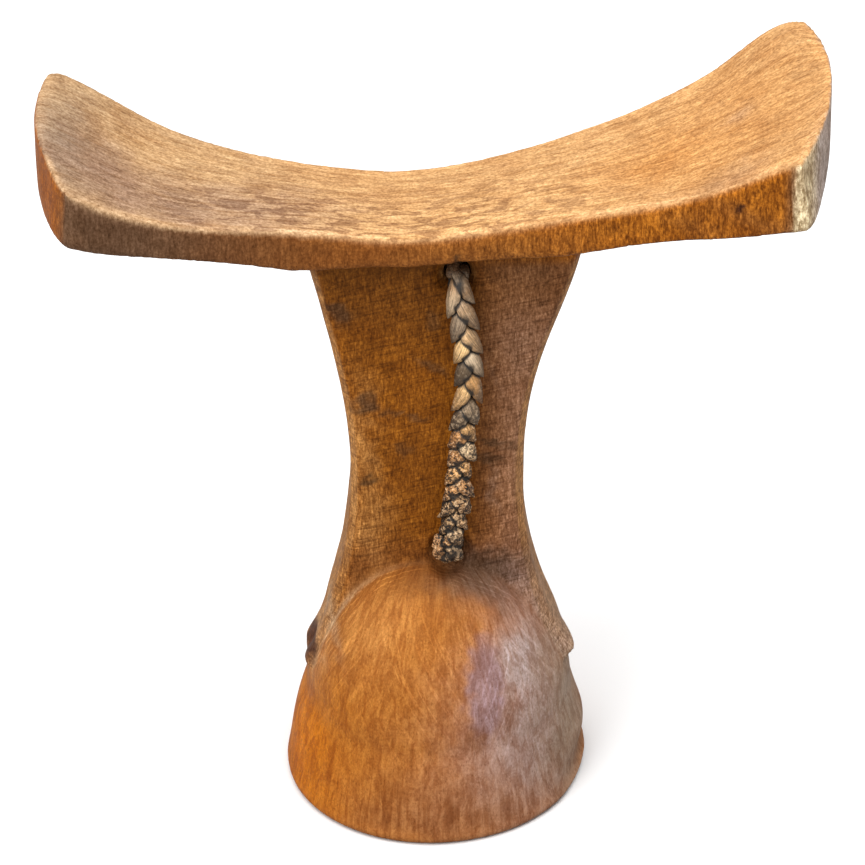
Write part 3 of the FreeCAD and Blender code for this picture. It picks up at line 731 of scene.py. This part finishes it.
# the plaited strap, in metres where nothing else is said
strap = {
    "route": (
        (0.0067, -0.0076, 0.1515), (0.0067, -0.0102, 0.1514), (0.0068, -0.0126, 0.1502),
        (0.0072, -0.0138, 0.1468), (0.0082, -0.0147, 0.1402),
        (0.0092, -0.0152, 0.1312), (0.009, -0.0154, 0.121), (0.0076, -0.0152, 0.111),
        (0.0067, -0.0149, 0.1006), (0.0057, -0.0145, 0.0904), (0.0045, -0.0141, 0.0824),
        (0.0041, -0.0144, 0.0764), (0.0038, -0.0134, 0.0722), (0.0036, -0.0104, 0.071)),
    "width": 0.0086,
    "depth": 0.006,
    "strands": 3,
    # how far down the strap each leaf on the left ends, in millimetres
    "leafEnds": (-1, 5.6, 12.8, 19.6, 25.6, 32.2, 39.8, 45.3, 50.6, 56.3, 61.6, 66.8, 72, 77.2, 82.4, 88),
    # how pale each pair's left and right leaf is, and how golden
    "paleLeft": (-1, -0.8, 0.55, -0.35, 0.75, -1, 0.45, -0.9, 0, -0.1, 0.35, 0.1, -0.6, -0.5, -0.2, -0.5),
    "paleRight": (-1, -0.8, 0.35, -0.1, 0.2, 0.3, 0.1, -0.5, 0.3, 0.9, 0.3, 0, -0.3, 0.3, -0.5, -0.6),
    "goldLeft": (0.3, 0.3, 0.25, 0.1, 1.3, 0.7, 1.6, 0.5, 1.5, 1, 1.2, 1.1, 0.8, 0.9, 1, 0.7),
    "goldRight": (0.2, 0.2, 0.2, 0.1, 0.6, 0, 1.2, 0.3, 1.1, 0.3, 1.2, 0.7, 0.6, 0.5, 0.4, 0.4),
    "pairing": 0.44,          # how far each right leaf is held back to lie beside the left one, in radians
    "leafLead": 0.167,        # how far past the strap's edge each leaf's end lies, in turns
    "leafStart": 0.085,       # how far before the strap's middle each leaf comes up, in turns
    "swing": 0.19,            # shares of the width
    "dive": 0.22,             # share of the depth
    "strandWidth": 0.42,      # share of the width
    "strandThickness": 0.42,  # share of the depth
    "twist": 45,              # degrees
    "setBack": 0.0007,        # how far the strands lie behind the strap's middle
    "sides": 28,
    "step": 0.00022,
    "mouthShares": (0.66, 0.9),    # how narrow the strap is drawn in the top and the bottom hole's mouth
    "mouthTaper": 0.006,
    "creaseReach": 0.0005,
    "shadedTop": (0.002, 0.01),       # how far down the strap the painted shade under the seat reaches
    "raggedFrom": (0.024, 0.06),    # where the fraying begins and where it is full
    "wander": (0.00005, 0.00022),   # how far the strands stray, and how much further where frayed
    "seed": 5,
}


def centreLine():
    # the route's points read from a smooth spline through it
    curve = bpy.data.curves.new("strapLine", "CURVE")
    curve.dimensions = "3D"
    curve.resolution_u = 40
    spline = curve.splines.new("NURBS")
    spline.points.add(len(strap["route"]) - 1)
    for point, place in zip(spline.points, strap["route"]):
        point.co = (*place, 1)
    spline.order_u = 3
    spline.use_endpoint_u = True
    thing = newObject("strapLine", curve)
    read = bpy.data.meshes.new_from_object(thing.evaluated_get(bpy.context.evaluated_depsgraph_get()))
    places = readVectors(read.vertices, "co")
    bpy.data.objects.remove(thing)
    bpy.data.meshes.remove(read)
    return evenSteps(places, strap["step"])


def evenSteps(places, step):
    # the same line with points at even steps, and how far along it each lies
    gone = np.r_[0, np.cumsum(np.linalg.norm(np.diff(places, axis=0), axis=1))]
    even = np.linspace(0, gone[-1], int(gone[-1] / step) + 1)
    return readAlong(places, gone, even), even


def tubeFaces(rings, sides, offset):
    # quads between neighbouring rings, and a fan of triangles round the middle of each end
    side = np.arange(sides)
    following = (side + 1) % sides
    ring = np.arange(rings - 1)[:, None] * sides
    quads = np.stack([ring + side, ring + following, ring + sides + following, ring + sides + side], -1)
    last = (rings - 1) * sides
    start = np.full(sides, rings * sides)
    fans = np.concatenate([
        np.stack([side, start, following], -1),
        np.stack([last + following, start + 1, last + side], -1)])
    return (quads.reshape(-1, 4) + offset).tolist() + (fans + offset).tolist()


def tubes(name, parts):
    # one mesh from several tubes, each an array of rings, with its numbers for the material
    points = []
    faces = []
    numbers = {}
    offset = 0
    for rings, facts in parts:
        count, sides = rings.shape[:2]
        points += [rings.reshape(-1, 3), rings[0].mean(0)[None], rings[-1].mean(0)[None]]
        faces += tubeFaces(count, sides, offset)
        for key, values in facts.items():
            values = np.broadcast_to(values, (count, sides))
            numbers.setdefault(key, []).append(np.r_[values.ravel(), values[0].mean(), values[-1].mean()])
        offset += count * sides + 2
    mesh = bpy.data.meshes.new(name)
    mesh.from_pydata(np.concatenate(points).tolist(), [], faces)
    for key, values in numbers.items():
        paint(mesh, key, np.concatenate(values))
    turned = bmesh.new()
    turned.from_mesh(mesh)
    bmesh.ops.recalc_face_normals(turned, faces=turned.faces)
    turned.to_mesh(mesh)
    turned.free()
    smoothFaces(mesh)
    return newObject(name, mesh)


def readAlong(values, down, at):
    return np.column_stack([np.interp(at, down, values[:, axis]) for axis in range(3)])


def ovalRings(outer, front, wide, thick, sides):
    # outer * wide * cos(angle) + front * thick * sin(angle)
    angle = np.linspace(0, fullTurn, sides, endpoint=False)
    ring = (outer[:, None] * (wide[:, None] * np.cos(angle))[..., None]
            + front[:, None] * (thick[:, None] * np.sin(angle))[..., None])
    return ring, angle


def roughened(rings, ways, ragged, seed):
    # pushed in and out by fine unevenness, and where the strap is ragged by clumps too
    flat = rings.reshape(-1, 3) * 1000
    rough = 0.05 * waves(flat * (1, 1, 0.45), 1.1, 41 + seed) + 0.035 * waves(flat, 0.55, 51 + seed)
    clumps = 0.15 * waves(flat, 2.1, 61 + seed)
    raggedHere = np.repeat(ragged, rings.shape[1])
    push = (rough * (1 + 1.4 * raggedHere) + clumps * raggedHere).reshape(rings.shape[:2]) / 1000
    return rings + unit(ways) * push[..., None]


# the side of a strand that shows, from where it comes up to where it goes under: lengths in millimetres,
# counted from the strap's middle across to the leaf's own side and out from the column
leafShape = {
    "length": 1.62,           # in spaces from one leaf's end to the next
    "rightLead": 0.4,         # how much higher the right leaf of each pair ends, in such spaces
    "across": (-1.3, 3.5),    # where its middle line starts and ends
    "out": (0.2, 1.9),        # its ends and its highest part
    "halfWidth": 2.1,
    "halfThickness": 1.1,
    "lean": (10, 50),         # degrees that its outer edge falls back, at its start and its end
    "size": ((0, 0.012, 0.045, 0.085), (0.8, 1, 0.96, 0.88)),    # down the strap
    "raggedFrom": (0.026, 0.06),
    "rings": 30,
    "sides": 20,
}


def plaitLeaf(number, side, line):
    # half width = most * sin(pi * share ^ 0.85) ^ 0.7, thickness and height out = sine of pi * share
    places, down, across, away = line
    ends = strap["leafEnds"]
    space = ends[number] - ends[number - 1]
    end = ends[number] - (leafShape["rightLead"] * space if side > 0 else 0)
    start = max(0, end - leafShape["length"] * space)
    share = np.linspace(0.01, 0.99, leafShape["rings"])
    at = (start + (min(end, down[-1] * 1000) - start) * share) / 1000
    ragged = smoothStep(at, *leafShape["raggedFrom"])
    dice = np.random.default_rng(900 + 2 * number + (side > 0))
    wobble = 1 + 0.22 * ragged.mean() * dice.uniform(-1, 1, 3)
    size = np.interp(at, *leafShape["size"])
    hump = np.sin(math.pi * share)
    acrossHere, awayHere = readAlong(across, down, at), readAlong(away, down, at)
    sideways = side * np.interp(share ** 0.9, (0, 1), leafShape["across"]) * size * wobble[0] / 1000
    out = np.interp(hump, (0, 1), leafShape["out"]) * size * wobble[1] / 1000
    middle = readAlong(places, down, at) + acrossHere * sideways[:, None] + awayHere * out[:, None]
    way = unit(np.gradient(middle, axis=0))
    outer = side * acrossHere
    outer = unit(outer - way * (outer * way).sum(1)[:, None])
    front = np.cross(way, outer)
    front = front * np.sign((front * awayHere).sum(1))[:, None]
    lean = np.radians(np.interp(share, (0, 1), leafShape["lean"]))[:, None]
    outer, front = outer * np.cos(lean) - front * np.sin(lean), front * np.cos(lean) + outer * np.sin(lean)
    half = leafShape["halfWidth"] * size * np.sin(math.pi * share ** 0.85) ** 0.7 * wobble[2] / 1000
    thick = leafShape["halfThickness"] * size * (0.35 + 0.65 * hump) / 1000
    ring, angle = ovalRings(outer, front, half, thick, leafShape["sides"])
    rings = roughened(middle[:, None] + ring, ring, ragged, number)
    hand = "Left" if side < 0 else "Right"
    # painted shade: leaves near the top hole, under the seat, are darker
    tone = strap["pale" + hand][number] - (1 - smoothStep(at, *strap["shadedTop"]))
    offset = rings - readAlong(places, down, at)[:, None]
    facts = {
        "along": at[:, None], "round": angle[None] / fullTurn, "ragged": ragged[:, None],
        "leafTone": tone[:, None], "gold": strap["gold" + hand][number],
        "side": (offset * acrossHere[:, None]).sum(2) / (strap["width"] / 2), "front": 0.9,
        "leafAt": share[:, None], "leafEdge": np.cos(angle)[None]}
    return rings, facts


def plaitStrand(number, line):
    # place = centre line + across * swing * sin(phase) + away * dive * sin(2 * phase), where the phase
    # grows by a full turn over three leaf ends; the flat oval section turns by the twist times cos(phase)
    places, down, across, away = line
    ends = np.array(strap["leafEnds"]) / 1000
    leaf = np.interp(down, ends, np.arange(len(ends)))
    phase = fullTurn * (leaf / 3 + 0.75 + strap["leafLead"] + number / strap["strands"])
    phase = phase - strap["pairing"] * (1 + np.sin(phase)) / 2
    ragged = smoothStep(down, *strap["raggedFrom"])
    scale = (1 - (1 - strap["mouthShares"][0]) * (1 - smoothStep(down, 0, strap["mouthTaper"]))
             - (1 - strap["mouthShares"][1]) * (1 - smoothStep(down[-1] - down, 0, strap["mouthTaper"])))
    swing = np.sin(phase) * strap["width"] * strap["swing"] * scale
    dive = np.sin(2 * phase) * strap["depth"] * strap["dive"] * scale
    gone = np.column_stack([down * 1000, down * 0 + number * 31, down * 0])
    wander = np.column_stack([waves(gone, 5.5, strap["seed"] + 7 * number + axis) for axis in range(3)])
    middle = places + across * swing[:, None] + away * (dive - strap["setBack"])[:, None]
    middle = middle + wander * (strap["wander"][0] + strap["wander"][1] * ragged)[:, None] * scale[:, None]
    twist = math.radians(strap["twist"]) * np.cos(phase)
    outward = across * np.cos(twist)[:, None] + away * np.sin(twist)[:, None]
    sideways = away * np.cos(twist)[:, None] - across * np.sin(twist)[:, None]
    half = strap["width"] * strap["strandWidth"] / 2 * scale
    thick = strap["depth"] * strap["strandThickness"] / 2 * scale
    ring, angle = ovalRings(sideways, outward, half, thick, strap["sides"])
    rings = roughened(middle[:, None] + ring, ring, ragged, number)

    turns = phase / fullTurn + strap["leafStart"]
    onLeft = (turns % 1 >= 0.5).astype(int)
    pair = np.clip(3 * np.floor(turns).astype(int) - number - (1 - onLeft), 0, len(ends) - 1)
    pale, gold = (
        np.where(onLeft, np.array(strap[key + "Left"])[pair], np.array(strap[key + "Right"])[pair])
        for key in ("pale", "gold"))
    offset = rings - places[:, None]
    facts = {
        "along": down[:, None], "round": angle[None] / fullTurn, "ragged": ragged[:, None],
        "leafTone": np.minimum(pale, -0.6)[:, None], "gold": gold[:, None],
        "side": (offset * across[:, None]).sum(2) / (strap["width"] / 2),
        "front": (offset * away[:, None]).sum(2) / (strap["depth"] / 2), "leafAt": 0.8, "leafEdge": 0}
    return rings, facts


def creaseShares(rings, others):
    # 1 where a ring's point touches another strand, else e to the minus squared distance in reaches
    tree = KDTree(len(others))
    for number, place in enumerate(others):
        tree.insert(place, number)
    tree.balance()
    apart = np.array([tree.find(place)[2] for place in rings.reshape(-1, 3)])
    return np.exp(-(apart / strap["creaseReach"]) ** 2).reshape(rings.shape[:2])


# the frayed clump where the strap is pushed into the bottom hole, in metres
clump = {
    "route": (
        (0.0018, -0.0146, 0.079), (0.0009, -0.0155, 0.0768), (0.0011, -0.0153, 0.074),
        (0.0028, -0.0138, 0.0722)),
    "radius": 0.0014,
    "step": 0.0003,
    "sides": 20,
    "lumps": (0.3, 1.9),      # height and wave length, in millimetres
    "seed": 97,
}


def pushedEnd():
    places, gone = evenSteps(np.array(clump["route"]), clump["step"])
    rings = tubeAlong(places, clump["radius"], clump["sides"], clump["seed"])
    rise, length = clump["lumps"]
    push = rise * waves(rings.reshape(-1, 3) * 1000, length, clump["seed"] + 1) / 1000
    rings = rings + unit(rings - places[:, None]) * push.reshape(rings.shape[:2])[..., None]
    facts = {
        "along": gone[:, None], "round": np.linspace(0, 1, clump["sides"])[None], "leafTone": 0,
        "ragged": 1, "gold": 0.5, "side": 0, "front": 0.8, "leafAt": 0.6, "leafEdge": 0}
    return rings, facts


def plaitedStrap():
    places, down = centreLine()
    along = unit(np.gradient(places, axis=0))
    across = unit(np.cross(along, (0, 1, 0)))
    line = (places, down, across, np.cross(along, across))
    leaves = [
        plaitLeaf(number, side, line)
        for number in range(2, len(strap["leafEnds"])) for side in (-1, 1)
        if strap["leafEnds"][number] < down[-1] * 1000 + 1.5]
    leaves.append(pushedEnd())
    parts = leaves + [plaitStrand(number, line) for number in range(strap["strands"])]
    for number, (rings, facts) in enumerate(parts):
        others = np.concatenate([
            leaf.reshape(-1, 3) for place, (leaf, _) in enumerate(leaves) if place != number])
        near = np.abs(others[:, 2] - (rings[..., 2].min() + rings[..., 2].max()) / 2)
        facts["crease"] = creaseShares(rings, others[near < np.ptp(rings[..., 2]) / 2 + 0.002])
    thing = tubes("plaitedStrap", parts)
    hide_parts("strap_thong_1", "strap_thong_2", "strap_thong_3")
    print("plaited strap", round(float(down[-1]) * 1000, 1), "mm")
    return thing, places, float(down[-1])


# the strap's end in each hole, in metres: the hole's centre line, which way the strap turns outside it, and
# by how many degrees its bundle has bent there
strapEnds = {
    "topKnot": {"node": "top_knot", "x": 0.0067, "z": 0.1515, "turn": 1, "bend": 36, "seed": 71},
    "bottomKnot": {"node": "bottom_knot", "x": 0.0036, "z": 0.0715, "turn": -1, "bend": 72, "seed": 83},
}
bundle = {
    "mouthY": -0.0072,        # where the bundle starts to bend over the mouth
    "bendRadius": 0.005,
    "backY": 0.0103,          # where the knot sits against the column's back
    "knotLength": 0.0082,
    "tailEnd": 0.0216,
    "strandRadius": 0.00155,
    "strandOffset": 0.0015,
    "turnsAlong": 1.1,        # turns of the three strands round one another over their length
    "coilRadius": 0.0035,
    "coilThickness": 0.00215,
    "coilTurns": 2.35,
    "coilLean": 0.001,
    "coilRings": 120,
    "coilGap": 0.0002,        # between the coil and the column's back
    "bendRings": 14,
    "straightRings": 70,
    "sides": 16,
    "fibreLength": 0.03,
    "tones": (-0.35, -0.1, -0.5, 0.1),   # of the three strands and the coil
    "lightFrom": 0.0098,                 # nearer the front than this it lies in the hole's dark
}


def tubeAlong(places, radius, sides, seed):
    # round rings square to a line, each turned as little as can be from the one before it, and roughened
    along = unit(np.gradient(places, axis=0))
    guide = np.cross(along[0], (0.3, 0.1, 1))
    guides = []
    for way in along:
        guide = guide - way * (guide @ way)
        guide = guide / np.linalg.norm(guide)
        guides.append(guide)
    guides = np.array(guides)
    even = np.ones(len(places))
    ring, _ = ovalRings(guides, np.cross(along, guides), even, even, sides)
    taper = np.minimum(1, 0.55 + np.minimum(np.arange(len(places)), np.arange(len(places))[::-1]) / 5)
    rings = places[:, None] + ring * (radius * taper)[:, None, None]
    flat = rings.reshape(-1, 3) * 1000
    push = (0.08 * waves(flat, 1.5, seed) + 0.04 * waves(flat, 0.6, seed + 1)) / 1000
    return rings + ring * push.reshape(len(places), -1)[..., None]


def leatherKnot(name, facts):
    # the strand's centre line runs from the tail through the knot and the hole and bends over the mouth
    angle = np.radians(np.linspace(0, facts["bend"], bundle["bendRings"]))
    straight = np.linspace(bundle["tailEnd"], bundle["mouthY"], bundle["straightRings"])[:-1]
    y = np.r_[straight, bundle["mouthY"] - bundle["bendRadius"] * np.sin(angle)]
    drop = np.r_[straight * 0, bundle["bendRadius"] * (1 - np.cos(angle))]
    line = np.column_stack([y * 0 + facts["x"], y, facts["z"] - facts["turn"] * drop])
    gone = np.r_[0, np.cumsum(np.linalg.norm(np.diff(line, axis=0), axis=1))]
    along = unit(np.gradient(line, axis=0))
    across = np.array((1, 0, 0))
    over = np.cross(along, across)
    parts = []
    for number in range(3):
        turned = fullTurn * (number / 3 + bundle["turnsAlong"] * gone / gone[-1])
        way = across * np.cos(turned)[:, None] + over * np.sin(turned)[:, None]
        parts.append((line + bundle["strandOffset"] * way, bundle["strandRadius"], number))

    # the stopper's coil: round the hole's line, climbing back from the column, its turns leaning over
    count, radius, thick = bundle["coilTurns"], bundle["coilRadius"], bundle["coilThickness"]
    turned = np.linspace(0, fullTurn * count, bundle["coilRings"])
    climb = bundle["knotLength"] - 2 * thick
    coilY = bundle["backY"] + thick + bundle["coilGap"] + climb * turned / turned[-1]
    coilY = coilY + bundle["coilLean"] * np.sin(turned * 2 / count) * np.sin(turned / 2 / count) ** 2
    coil = np.column_stack([
        facts["x"] + radius * np.cos(turned), coilY, facts["z"] + radius * np.sin(turned)])
    parts.append((coil, thick, 3))

    built = []
    for places, radius, number in parts:
        rings = tubeAlong(places, radius, bundle["sides"], facts["seed"] + 5 * number)
        built.append((rings, {
            "along": np.linspace(0, bundle["fibreLength"], len(places))[:, None],
            "round": np.linspace(0, 1, bundle["sides"])[None],
            "leafTone": bundle["tones"][number], "ragged": 0.35, "gold": 0.2, "side": 0.35,
            "front": np.where(rings[:, :, 1] < bundle["lightFrom"], 0.34, 0.9), "crease": 0,
            "leafAt": 0.7, "leafEdge": 0}))
    thing = tubes(name, built)
    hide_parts(facts["node"])
    print(name)
    return thing


leatherLook = {
    "tan": (0.52, 0.31, 0.155, 1),
    "cream": (0.9, 0.72, 0.5, 1),
    "greyHide": (0.3, 0.225, 0.155, 1),
    # near black; also painted shade in the plait's creases and on parts lying back inside it
    "blackAndShade": (0.018, 0.014, 0.011, 1),
    "roughness": 0.46,
    "specular": 0.5,
    "fibreCounts": (260, 44),    # to the metre along, and all round
    "speckScale": 1150,
    "grimeScale": 260,
    "relief": (0.6, 0.0003),     # strength and depth
}


def leatherMaterial():
    material, tree, shader = newMaterial("driedHide")
    side = attributeOf(tree, "side")
    front = attributeOf(tree, "front")
    leafTone = attributeOf(tree, "leafTone")
    ragged = attributeOf(tree, "ragged")
    fibres = addNode(tree, "CombineXYZ", {
        0: times(tree, attributeOf(tree, "along"), leatherLook["fibreCounts"][0]),
        1: times(tree, attributeOf(tree, "round"), leatherLook["fibreCounts"][1]), 2: leafTone}).outputs[0]
    streaks = noise(tree, fibres, 1, 4, 0.65, 0.4)
    specks = noise(tree, objectPlace(tree), leatherLook["speckScale"], 4, 0.75)
    grime = noise(tree, objectPlace(tree), leatherLook["grimeScale"], 3, 0.6)
    speckShare = maths(tree, "ADD", times(tree, ragged, 0.8), 0.2)
    weathered = maths(
        tree, "ADD", ramp(tree, side, 0.1, 0.9, 0, 0.3), ramp(tree, grime, 0.45, 0.7, -0.15, 0.35))

    # each leaf is darkest and warmest where it goes under the next and along its edges
    lit = times(
        tree, ramp(tree, attributeOf(tree, "leafAt"), 0.38, 0.95, 1.4, 0.36),
        ramp(tree, attributeOf(tree, "leafEdge"), 0, 1, 1, 0.45))
    lit = addNode(tree, "CombineXYZ", {
        0: lit, 1: maths(tree, "POWER", lit, 1.15), 2: maths(tree, "POWER", lit, 1.3)}).outputs[0]

    cream, greyHide, blackAndShade = leatherLook["cream"], leatherLook["greyHide"], leatherLook["blackAndShade"]
    colour = leatherLook["tan"]
    for share, towards, kind in (
        (ramp(tree, leafTone, 0, 0.7), cream, "MIX"),
        (ramp(tree, leafTone, 0, -0.45, 0, 0.9), greyHide, "MIX"),
        (ramp(tree, leafTone, -0.5, -1.2, 0, 0.8), blackAndShade, "MIX"),
        (attributeOf(tree, "gold"), (1.08, 0.84, 0.52, 1), "MULTIPLY"),
        (1, lit, "MULTIPLY"),
        (addNode(tree, "Clamp", {0: weathered}).outputs[0], greyHide, "MIX"),
        (ramp(tree, streaks, 0.38, 0.52, 0.6, 0), blackAndShade, "MIX"),
        (ramp(tree, streaks, 0.54, 0.66), (1.35, 1.4, 1.45, 1), "MULTIPLY"),
        (times(tree, ramp(tree, specks, 0.48, 0.54), speckShare), blackAndShade, "MIX"),
        (times(tree, ramp(tree, specks, 0.45, 0.38, 0, 0.9), speckShare), cream, "MIX"),
        (ragged, (1.36, 1.2, 1.02, 1), "MULTIPLY"),
        # painted shade: parts lying back inside the plait, and creases where strands touch, go towards
        # black
        (ramp(tree, front, 0.1, 0.55, 0.94, 0), blackAndShade, "MIX"),
        (ramp(tree, attributeOf(tree, "crease"), 0.15, 0.65, 0, 0.95), blackAndShade, "MIX"),
    ):
        colour = blend(tree, share, colour, towards, kind)
    relief = maths(tree, "ADD", streaks, times(tree, specks, 0.6))
    setInputs(tree, shader, {
        "Base Color": colour, "Normal": bumped(tree, relief, *leatherLook["relief"]),
        "Roughness": leatherLook["roughness"], "Specular IOR Level": leatherLook["specular"]})
    print("leather material")
    return material


# what stands around the headrest
studio = {
    "floorColour": (0.36, 0.35, 0.34, 1),   # what the floor throws back onto the wood
    "floorSeen": (0.98, 0.98, 0.98, 1),     # what the camera sees of it
    "floorSize": 8,
    "skyStrength": 0.4,
    "overhead": {"place": (0, -0.25, 2.3), "size": 2.6, "power": 62},
    "key": {"place": (-1.1, -1.3, 1.5), "size": 1.3, "power": 16},
    "aim": (0, 0, 0.1),
}

# the photograph's camera
view = {
    "place": (0, -0.816, 0.628),
    "lookDown": 32.9,    # degrees below level
    "roll": 1.1,
    "lens": 161.3,
    "sensor": 36,
}


def buildFloor():
    half = studio["floorSize"] / 2
    mesh = bpy.data.meshes.new("floor")
    corners = [(-half, -half, 0), (half, -half, 0), (half, half, 0), (-half, half, 0)]
    mesh.from_pydata(corners, [], [(0, 1, 2, 3)])
    floor = newObject("floor", mesh)
    material, tree, shader = newMaterial("paleFloor")
    seen = addNode(tree, "LightPath").outputs["Is Camera Ray"]
    setInputs(tree, shader, {
        "Base Color": blend(tree, seen, studio["floorColour"], studio["floorSeen"]),
        "Roughness": 1, "Specular IOR Level": 0})
    mesh.materials.append(material)


def buildLights():
    world = bpy.data.worlds.new("studioSky")
    bpy.context.scene.world = world
    world.use_nodes = True
    tree = world.node_tree
    seen = addNode(tree, "LightPath").outputs["Is Camera Ray"]
    setInputs(tree, tree.nodes["Background"], {
        "Color": (1, 1, 1, 1), "Strength": ramp(tree, seen, 0, 1, studio["skyStrength"], 1)})
    for name in ("overhead", "key"):
        light = bpy.data.lights.new(name, "AREA")
        light.shape = "DISK"
        light.size = studio[name]["size"]
        light.energy = studio[name]["power"]
        lamp = newObject(name, light)
        lamp.location = studio[name]["place"]
        towards = Vector(studio["aim"]) - lamp.location
        lamp.rotation_euler = towards.to_track_quat("-Z", "Y").to_euler()


def placeCamera():
    camera = bpy.data.cameras.new("photoCamera")
    camera.sensor_width = view["sensor"]
    camera.lens = view["lens"]
    camera.clip_start = 0.01
    thing = newObject("photoCamera", camera)
    thing.location = view["place"]
    tilt = Matrix.Rotation(math.radians(90 - view["lookDown"]), 3, "X")
    roll = Matrix.Rotation(math.radians(-view["roll"]), 3, "Z")
    thing.rotation_euler = (tilt @ roll).to_euler()
    bpy.context.scene.camera = thing
    bpy.context.scene.view_settings.view_transform = "Standard"
    print("studio and camera")


buildFloor()
buildLights()
placeCamera()
wood = woodMaterial()
leather = leatherMaterial()

blockPiece = carvedBlock()
blockPiece.data.materials.append(wood)
strapPiece, strapPlaces, strapLength = plaitedStrap()
leatherPieces = [strapPiece] + [leatherKnot(name, facts) for name, facts in strapEnds.items()]
for piece in leatherPieces:
    piece.data.materials.append(leather)

bodyName = next(iter(frame["bodies"]))
for piece in [blockPiece, *leatherPieces]:
    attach(piece, bodyName)
